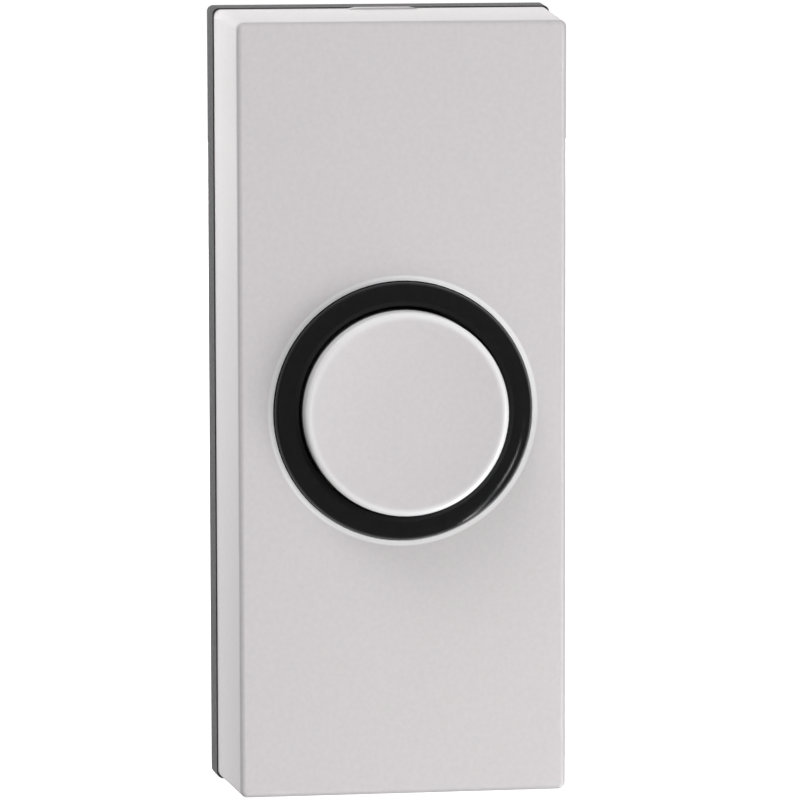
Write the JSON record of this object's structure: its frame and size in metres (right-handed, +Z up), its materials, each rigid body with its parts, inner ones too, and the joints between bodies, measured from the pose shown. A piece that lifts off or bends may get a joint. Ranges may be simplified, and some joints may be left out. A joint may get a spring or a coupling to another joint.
{
  "type": "doorbell push button",
  "caption": "Surface-mounted wired bell push: drafted silver-grey cover on a dark back plate, round sprung button in a black ring, screw terminals and a bridging contact inside",
  "frame": {"origin": "centre of the back face, on the wall", "axes": "+Z up, the wall is the plane Y = 0, the front and the button face -Y, +X to the right seen from the front"},
  "size_m": [0.033, 0.0212, 0.0752],
  "materials": {
    "plate_dark": "satin dark moulding",
    "cover_silver": "satin silver-grey paint",
    "button_silver": "satin silver-grey paint",
    "ring_black": "polished black moulding",
    "contact_brass": "bright stamped brass",
    "spring_steel": "drawn wire",
    "screw_steel": "zinc plated"
  },
  "bodies": {
    "housing": {"back_plate": "plate_dark", "front_cover": "cover_silver", "bezel_ring": "ring_black", "return_spring": "spring_steel", "upper_contact_strip": "contact_brass", "lower_contact_strip": "contact_brass", "contact_rivets": "contact_brass", "terminal_screws": "screw_steel", "terminal_clamps": "screw_steel", "terminal_nuts": "contact_brass"},
    "button": {"push_button": "button_silver", "contact_ring": "contact_brass"}
  },
  "joints": [
    {"name": "button_press", "type": "slide", "parent": "housing", "child": "button", "axis": [0, 1, 0], "range_m": [0, 0.0021], "stiffness_N_per_m": 800, "springref_m": -0.0025, "deforming": ["return_spring"]}
  ]
}
